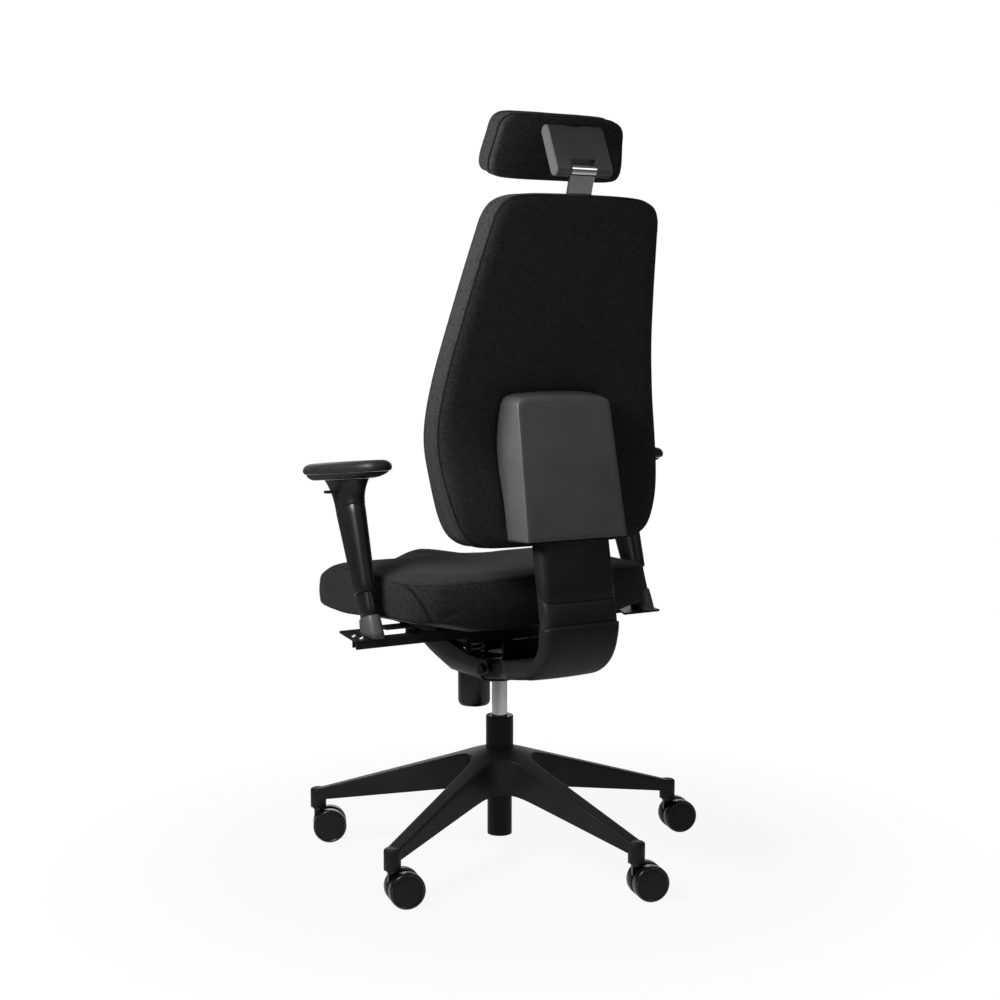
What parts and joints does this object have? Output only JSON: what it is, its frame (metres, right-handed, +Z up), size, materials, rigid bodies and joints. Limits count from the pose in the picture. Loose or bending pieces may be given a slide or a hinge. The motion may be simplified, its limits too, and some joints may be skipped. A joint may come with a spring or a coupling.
{
  "type": "office chair",
  "caption": "High-back upholstered task chair with headrest, adjustable arms, reclining synchro mechanism, gas lift and star base on twin-wheel casters.",
  "frame": {"origin": "on the floor, under the middle of the bounding box", "axes": "+Z up, +X to the sitter's left, the sitter faces -Y"},
  "size_m": [0.7316, 0.7231, 1.3216],
  "materials": {
    "nylon": "matte black glass-filled nylon",
    "satin_plastic": "satin black",
    "caster_plastic": "gloss black",
    "grained_plastic": "fine-grained matte charcoal",
    "soft_pad": "soft skinned foam, black",
    "fabric": "fine black weave",
    "black_paint": "semi-matte black powder coat",
    "steel": "bright drawn steel",
    "chrome": "polished"
  },
  "bodies": {
    "base": {"five_star_base": "nylon", "gas_lift_tube": "black_paint"},
    "column": {"gas_lift_rod": "steel"},
    "mechanism": {"gas_lift_cylinder": "chrome", "mechanism_housing": "black_paint", "recline_axle": "black_paint", "seat_axle": "black_paint", "tension_spring": "steel"},
    "knob": {"tension_knob": "satin_plastic"},
    "height_lever_body": {"height_lever": "satin_plastic"},
    "tilt_lever_body": {"tilt_lever": "satin_plastic"},
    "back_support": {"back_arm": "satin_plastic", "back_arm_cover": "nylon", "back_upright": "steel"},
    "carrier": {"seat_carrier": "black_paint"},
    "seat": {"seat_pan": "nylon", "seat_cushion": "fabric"},
    "depth_lever_body": {"seat_depth_lever": "satin_plastic"},
    "back": {"back_slider": "nylon", "back_slider_cover": "grained_plastic", "back_panel": "fabric", "back_cushion": "fabric", "headrest_guide": "satin_plastic"},
    "headrest_stem": {"headrest_bar": "chrome", "headrest_pin": "chrome"},
    "headrest_arm": {"headrest_link": "grained_plastic"},
    "headrest": {"headrest_mount": "black_paint", "headrest_panel": "fabric", "headrest_cushion": "fabric"},
    "left_arm": {"left_arm_bracket": "black_paint", "left_arm_boot": "grained_plastic", "left_arm_post": "satin_plastic"},
    "left_arm_upper": {"left_arm_sleeve": "satin_plastic", "left_arm_head": "satin_plastic"},
    "left_lever": {"left_arm_lever": "satin_plastic"},
    "left_pad_base": {"left_arm_pad_plate": "satin_plastic"},
    "left_pad": {"left_arm_pad": "soft_pad"},
    "right_arm": {"right_arm_bracket": "black_paint", "right_arm_boot": "grained_plastic", "right_arm_post": "satin_plastic"},
    "right_arm_upper": {"right_arm_sleeve": "satin_plastic", "right_arm_head": "satin_plastic"},
    "right_lever": {"right_arm_lever": "satin_plastic"},
    "right_pad_base": {"right_arm_pad_plate": "satin_plastic"},
    "right_pad": {"right_arm_pad": "soft_pad"},
    "caster_1": {"caster_1_body": "caster_plastic"},
    "caster_1_a": {"caster_1_wheel_a": "caster_plastic"},
    "caster_1_b": {"caster_1_wheel_b": "caster_plastic"},
    "caster_2": {"caster_2_body": "caster_plastic"},
    "caster_2_a": {"caster_2_wheel_a": "caster_plastic"},
    "caster_2_b": {"caster_2_wheel_b": "caster_plastic"},
    "caster_3": {"caster_3_body": "caster_plastic"},
    "caster_3_a": {"caster_3_wheel_a": "caster_plastic"},
    "caster_3_b": {"caster_3_wheel_b": "caster_plastic"},
    "caster_4": {"caster_4_body": "caster_plastic"},
    "caster_4_a": {"caster_4_wheel_a": "caster_plastic"},
    "caster_4_b": {"caster_4_wheel_b": "caster_plastic"},
    "caster_5": {"caster_5_body": "caster_plastic"},
    "caster_5_a": {"caster_5_wheel_a": "caster_plastic"},
    "caster_5_b": {"caster_5_wheel_b": "caster_plastic"}
  },
  "joints": [
    {"name": "swivel", "type": "hinge", "parent": "base", "child": "column", "pos_m": [0.037, -0.02, 0], "axis": [0, 0, 1], "continuous": true},
    {"name": "seat_height", "type": "slide", "parent": "column", "child": "mechanism", "axis": [0, 0, 1], "range_m": [-0.055, 0.065]},
    {"name": "back_recline", "type": "hinge", "parent": "mechanism", "child": "back_support", "pos_m": [0.037, 0.025, 0.357], "axis": [-1, 0, 0], "range_deg": [0, 20], "stiffness_Nm_per_rad": 60, "springref_deg": -34.38},
    {"name": "seat_tilt", "type": "hinge", "parent": "mechanism", "child": "carrier", "pos_m": [0.037, -0.225, 0.382], "axis": [-1, 0, 0], "range_deg": [0, 7]},
    {"name": "seat_depth", "type": "slide", "parent": "carrier", "child": "seat", "axis": [0, -1, 0], "range_m": [0, 0.05]},
    {"name": "back_height", "type": "slide", "parent": "back_support", "child": "back", "axis": [0, -0.1874, 0.9823], "range_m": [-0.02, 0.05]},
    {"name": "headrest_height", "type": "slide", "parent": "back", "child": "headrest_stem", "axis": [0, 0.2874, 0.9578], "range_m": [-0.015, 0.05]},
    {"name": "headrest_lean", "type": "hinge", "parent": "headrest_stem", "child": "headrest_arm", "pos_m": [0.037, 0.242, 1.22], "axis": [1, 0, 0], "range_deg": [-20, 12]},
    {"name": "headrest_tilt", "type": "hinge", "parent": "headrest_arm", "child": "headrest", "pos_m": [0.037, 0.21438, 1.28323], "axis": [1, 0, 0], "range_deg": [-15, 12]},
    {"name": "left_arm_width", "type": "slide", "parent": "carrier", "child": "left_arm", "axis": [1, 0, 0], "range_m": [-0.01, 0.03]},
    {"name": "left_arm_height", "type": "slide", "parent": "left_arm", "child": "left_arm_upper", "axis": [0, -0.3584, 0.9336], "range_m": [-0.035, 0.065]},
    {"name": "left_pad_swivel", "type": "hinge", "parent": "left_arm_upper", "child": "left_pad_base", "pos_m": [0.32, -0.066, 0.7], "axis": [0, -0.0976, 0.9952], "range_deg": [-25, 25]},
    {"name": "left_pad_slide", "type": "slide", "parent": "left_pad_base", "child": "left_pad", "axis": [0, 0.9952, 0.0976], "range_m": [-0.025, 0.025]},
    {"name": "left_arm_lever", "type": "hinge", "parent": "left_arm_upper", "child": "left_lever", "pos_m": [0.34056, -0.06027, 0.68], "axis": [0, -1, 0], "range_deg": [0, 8], "stiffness_Nm_per_rad": 0.6, "springref_deg": -8.59},
    {"name": "right_arm_width", "type": "slide", "parent": "carrier", "child": "right_arm", "axis": [-1, 0, 0], "range_m": [-0.01, 0.03]},
    {"name": "right_arm_height", "type": "slide", "parent": "right_arm", "child": "right_arm_upper", "axis": [0, -0.3584, 0.9336], "range_m": [-0.035, 0.065]},
    {"name": "right_pad_swivel", "type": "hinge", "parent": "right_arm_upper", "child": "right_pad_base", "pos_m": [-0.246, -0.066, 0.7], "axis": [0, -0.0976, 0.9952], "range_deg": [-25, 25]},
    {"name": "right_pad_slide", "type": "slide", "parent": "right_pad_base", "child": "right_pad", "axis": [0, 0.9952, 0.0976], "range_m": [-0.025, 0.025]},
    {"name": "right_arm_lever", "type": "hinge", "parent": "right_arm_upper", "child": "right_lever", "pos_m": [-0.26656, -0.06027, 0.68], "axis": [0, 1, 0], "range_deg": [0, 8], "stiffness_Nm_per_rad": 0.6, "springref_deg": -8.59},
    {"name": "height_lever", "type": "hinge", "parent": "mechanism", "child": "height_lever_body", "pos_m": [-0.028, -0.055, 0.362], "axis": [0, 1, 0], "range_deg": [0, 7], "stiffness_Nm_per_rad": 3, "springref_deg": -17.19},
    {"name": "tilt_lever", "type": "hinge", "parent": "mechanism", "child": "tilt_lever_body", "pos_m": [-0.028, -0.17, 0.364], "axis": [1, 0, 0], "range_deg": [0, 30]},
    {"name": "seat_depth_lever", "type": "hinge", "parent": "seat", "child": "depth_lever_body", "pos_m": [0.187, -0.095, 0.426], "axis": [0, -1, 0], "range_deg": [0, 8], "stiffness_Nm_per_rad": 0.8, "springref_deg": -8.59},
    {"name": "tension_knob", "type": "hinge", "parent": "mechanism", "child": "knob", "pos_m": [0.037, -0.113, 0.3265], "axis": [0, 0, 1], "range_deg": [-720, 720]},
    {"name": "caster_1_swivel", "type": "hinge", "parent": "base", "child": "caster_1", "pos_m": [0.34517, 0.14593, 0], "axis": [0, 0, 1], "continuous": true},
    {"name": "caster_2_swivel", "type": "hinge", "parent": "base", "child": "caster_2", "pos_m": [-0.02558, 0.32436, 0], "axis": [0, 0, 1], "continuous": true},
    {"name": "caster_3_swivel", "type": "hinge", "parent": "base", "child": "caster_3", "pos_m": [-0.30984, 0.0269, 0], "axis": [0, 0, 1], "continuous": true},
    {"name": "caster_4_swivel", "type": "hinge", "parent": "base", "child": "caster_4", "pos_m": [-0.11478, -0.33538, 0], "axis": [0, 0, 1], "continuous": true},
    {"name": "caster_5_swivel", "type": "hinge", "parent": "base", "child": "caster_5", "pos_m": [0.29004, -0.26181, 0], "axis": [0, 0, 1], "continuous": true},
    {"name": "caster_1_roll_a", "type": "hinge", "parent": "caster_1", "child": "caster_1_a", "pos_m": [0.32363, 0.14598, 0.031], "axis": [0.2251, 0.9743, 0], "continuous": true},
    {"name": "caster_1_roll_b", "type": "hinge", "parent": "caster_1", "child": "caster_1_b", "pos_m": [0.32579, 0.15533, 0.031], "axis": [0.2251, 0.9743, 0], "continuous": true},
    {"name": "caster_2_roll_a", "type": "hinge", "parent": "caster_2", "child": "caster_2_a", "pos_m": [-0.04711, 0.32516, 0.031], "axis": [0.2594, 0.9658, 0], "continuous": true},
    {"name": "caster_2_roll_b", "type": "hinge", "parent": "caster_2", "child": "caster_2_b", "pos_m": [-0.04462, 0.33443, 0.031], "axis": [0.2594, 0.9658, 0], "continuous": true},
    {"name": "caster_3_roll_a", "type": "hinge", "parent": "caster_3", "child": "caster_3_a", "pos_m": [-0.33135, 0.02807, 0.031], "axis": [0.275, 0.9614, 0], "continuous": true},
    {"name": "caster_3_roll_b", "type": "hinge", "parent": "caster_3", "child": "caster_3_b", "pos_m": [-0.32871, 0.0373, 0.031], "axis": [0.275, 0.9614, 0], "continuous": true},
    {"name": "caster_4_roll_a", "type": "hinge", "parent": "caster_4", "child": "caster_4_a", "pos_m": [-0.13616, -0.33271, 0.031], "axis": [0.3423, 0.9396, 0], "continuous": true},
    {"name": "caster_4_roll_b", "type": "hinge", "parent": "caster_4", "child": "caster_4_b", "pos_m": [-0.13287, -0.32368, 0.031], "axis": [0.3423, 0.9396, 0], "continuous": true},
    {"name": "caster_5_roll_a", "type": "hinge", "parent": "caster_5", "child": "caster_5_a", "pos_m": [0.26898, -0.25728, 0.031], "axis": [0.422, 0.9066, 0], "continuous": true},
    {"name": "caster_5_roll_b", "type": "hinge", "parent": "caster_5", "child": "caster_5_b", "pos_m": [0.27303, -0.24858, 0.031], "axis": [0.422, 0.9066, 0], "continuous": true}
  ],
  "couplings": [
    {"joint": "seat_tilt", "follows": "back_recline", "ratio": 0.35}
  ]
}
